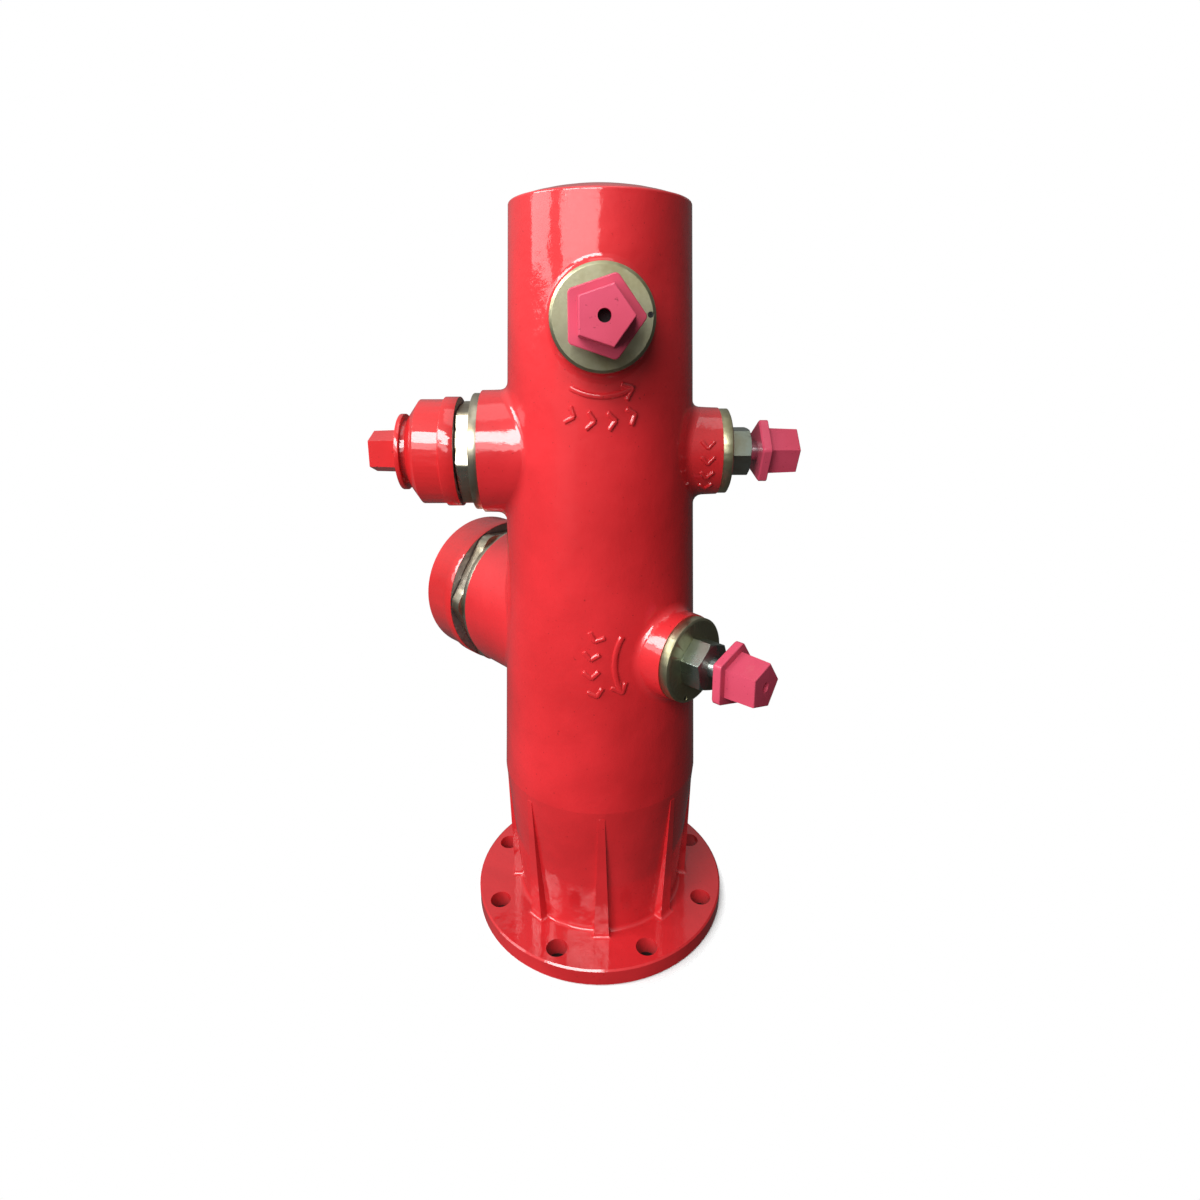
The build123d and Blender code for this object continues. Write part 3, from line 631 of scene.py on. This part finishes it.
def lay_on_barrel(name, tree):
    """Wrap flat points round the barrel, with their origin on a valve's axis."""
    origin, outward = stem_axis(name)
    facing = math.atan2(outward.y, outward.x)

    def lay(point, height):
        azimuth = facing + point[0] / WRAP_RADIUS
        spoke = Vector((math.cos(azimuth), math.sin(azimuth), 0))
        start = UP * (origin.z + point[1]) + spoke * RAY_START
        return tree.ray_cast(start, -spoke)[0] + spoke * height

    return lay


def lay_on_boss(name, tree):
    """Wrap flat points round a valve's boss. X runs outward, and Y round the boss, from the front."""
    origin, outward = stem_axis(name)
    front = outward.cross(UP)

    def lay(point, height):
        turn = point[1] / BOSS_MARK_RADIUS
        spoke = front * math.cos(turn) + UP * math.sin(turn)
        start = origin + outward * (BOSS_MARK_STATION + point[0]) + spoke * RAY_START
        return tree.ray_cast(start, -spoke)[0] + spoke * height

    return lay


def make_mark(name, strokes, lay):
    """One cast mark from its strokes."""
    vertices, faces = [], []
    for path, width in strokes:
        some, these = stroke(path, width, lay)
        faces += [tuple(index + len(vertices) for index in face) for face in these]
        vertices += some
    make_object(name, vertices, faces, BARREL_PAINT, STROKE_SMOOTH_ANGLE)


# ------------------------------------------------------------------ the hydrant
for node, obj in NODES.items():
    dress(obj, material_of(node))
    if SLOT_OF[node] in EDGE_WIDTH:
        soften(obj, EDGE_WIDTH[SLOT_OF[node]])
for station_name in STATIONS:
    make_nozzle(station_name)
casting = node_tree("barrel")
make_mark("top_opening_mark", opening_marks(-90), lay_on_barrel("top", casting))
make_mark("lower_opening_mark", opening_marks(180), lay_on_barrel("lower", casting))
make_mark("middle_opening_mark", boss_marks(), lay_on_boss("middle", casting))

# ------------------------------------------------------------------ stage, light and camera
CAMERA_AZIMUTH = math.radians(-0.93)
CAMERA_DISTANCE = 0.6773
CAMERA_HEIGHT = 0.6179
CAMERA_PITCH = math.radians(16.5)
CAMERA_LENS = 20.794
CAMERA_SENSOR = 36.0
CAMERA_SHIFT = -0.0459
CAMERA_CLIP = 0.01

FLOOR_RADIUS = 6.0
FLOOR_SEGMENTS = 96
FLOOR_PALE = (0.86, 0.86, 0.86)
# Painted shade: near-black colour of the floor under the flange, out to the radius below.
FLOOR_PAINTED_SHADE = (0.01, 0.004, 0.004)
FLOOR_ROUGHNESS = 0.75
FLOOR_PAINTED_SHADE_RADIUS = 0.134
FLOOR_FADE_START = 0.139
FLOOR_FADE_END = 0.148

AIM_HEIGHT = 0.6
PANEL_DISTANCE = 2.4

WORLD_UPWARD = (-0.1, 0.8)
WORLD_LOW = 0.13
WORLD_HIGH = 0.70
WORLD_SIDEWAYS = (-0.9, 0.9)
WORLD_LEFT = 1.0
WORLD_RIGHT = 0.22
WHITE = (1, 1, 1, 1)


def make_camera():
    """Camera in front of the hydrant, a little left of the top valve, that looks down on it."""
    data = bpy.data.cameras.new("camera")
    data.lens = CAMERA_LENS
    data.sensor_width = CAMERA_SENSOR
    data.shift_y = CAMERA_SHIFT
    data.clip_start = CAMERA_CLIP
    camera = bpy.data.objects.new("camera", data)
    bpy.context.scene.collection.objects.link(camera)
    turn = CAMERA_AZIMUTH
    camera.location = (CAMERA_DISTANCE * math.sin(turn), -CAMERA_DISTANCE * math.cos(turn), CAMERA_HEIGHT)
    camera.rotation_euler = (math.pi / 2 - CAMERA_PITCH, 0, turn)
    bpy.context.scene.camera = camera


def floor_material():
    """Pale floor, with painted shade under the flange, that fades out just beyond it."""
    pale = Shader("floor_paint", FLOOR_PALE, FLOOR_ROUGHNESS)
    far = pale.vector("LENGTH", pale.place)
    # Painted shade: the floor is painted near-black under the flange, where the hydrant shades it.
    painted_shade = pale.ramp(far, FLOOR_PAINTED_SHADE_RADIUS - MM, FLOOR_PAINTED_SHADE_RADIUS)
    pale.finish(pale.mix(painted_shade, FLOOR_PAINTED_SHADE, FLOOR_PALE))
    fade = pale.ramp(far, FLOOR_FADE_START, FLOOR_FADE_END)
    clear = pale.node("ShaderNodeBsdfTransparent", {})
    mixed = pale.node("ShaderNodeMixShader", {0: fade, 1: pale.surface.outputs[0], 2: clear.outputs[0]})
    pale.tree.links.new(mixed.outputs[0], pale.tree.nodes["Material Output"].inputs["Surface"])
    return pale.material


def make_floor():
    """Floor that shows in no reflection and bounces no light."""
    mesh = bpy.data.meshes.new("floor")
    made = bmesh.new()
    bmesh.ops.create_circle(made, cap_ends=True, segments=FLOOR_SEGMENTS, radius=FLOOR_RADIUS)
    made.to_mesh(mesh)
    made.free()
    floor = bpy.data.objects.new("floor", mesh)
    bpy.context.scene.collection.objects.link(floor)
    dress(floor, floor_material())
    floor.visible_glossy = False
    floor.visible_diffuse = False


def make_panel(name, azimuth, elevation, width, height, power, distance=PANEL_DISTANCE, mirrored=True):
    """Soft rectangular light that faces the upper barrel. Azimuth 0 is the camera's side."""
    data = bpy.data.lights.new(name, "AREA")
    data.shape = "RECTANGLE"
    data.size = width
    data.size_y = height
    data.energy = power
    panel = bpy.data.objects.new(name, data)
    bpy.context.scene.collection.objects.link(panel)
    turn, lift = math.radians(azimuth), math.radians(elevation)
    away = Vector((math.sin(turn) * math.cos(lift), -math.cos(turn) * math.cos(lift), math.sin(lift)))
    panel.location = UP * AIM_HEIGHT + away * distance
    panel.rotation_euler = (-away).to_track_quat("-Z", "Y").to_euler()
    panel.visible_glossy = mirrored


def make_world():
    """White behind the object. The light on it grows toward the zenith and toward the left."""
    world = bpy.data.worlds.new("world")
    bpy.context.scene.world = world
    world.use_nodes = True
    tree = world.node_tree

    def scaled(value, span, out_low, out_high):
        made = tree.nodes.new("ShaderNodeMapRange")
        for key, number in zip(("From Min", "From Max", "To Min", "To Max"), (*span, out_low, out_high)):
            made.inputs[key].default_value = number
        tree.links.new(value, made.inputs["Value"])
        return made.outputs["Result"]

    place = tree.nodes.new("ShaderNodeTexCoord").outputs["Generated"]
    parts = tree.nodes.new("ShaderNodeSeparateXYZ")
    tree.links.new(place, parts.inputs[0])
    strength = tree.nodes.new("ShaderNodeMath")
    strength.operation = "MULTIPLY"
    tree.links.new(scaled(parts.outputs["Z"], WORLD_UPWARD, WORLD_LOW, WORLD_HIGH), strength.inputs[0])
    tree.links.new(scaled(parts.outputs["X"], WORLD_SIDEWAYS, WORLD_LEFT, WORLD_RIGHT), strength.inputs[1])
    seen = tree.nodes.new("ShaderNodeLightPath").outputs["Is Camera Ray"]
    level = tree.nodes.new("ShaderNodeMix")
    tree.links.new(seen, level.inputs[MIX_SHARE])
    tree.links.new(strength.outputs[0], level.inputs[MIX_NUMBERS[0]])
    level.inputs[MIX_NUMBERS[1]].default_value = 1.0
    back = tree.nodes["Background"]
    back.inputs["Color"].default_value = WHITE
    tree.links.new(level.outputs[MIX_NUMBER_RESULT], back.inputs["Strength"])


make_camera()
make_floor()
make_world()
make_panel("front_window", azimuth=-26, elevation=14, width=2.0, height=0.5, power=9)
make_panel("front_window_top", azimuth=-22, elevation=32, width=1.8, height=0.9, power=58)
make_panel("side_window", azimuth=-77, elevation=14, width=1.15, height=0.5, power=5)
make_panel("side_window_top", azimuth=-77, elevation=32, width=1.1, height=0.9, power=30)
make_panel("ceiling", azimuth=0, elevation=86, width=1.6, height=1.6, power=8)
make_panel(
    "low_fill", azimuth=-42, elevation=-6, width=0.9, height=0.7, power=14, distance=1.9, mirrored=False
)
bpy.context.scene.view_settings.view_transform = "Standard"
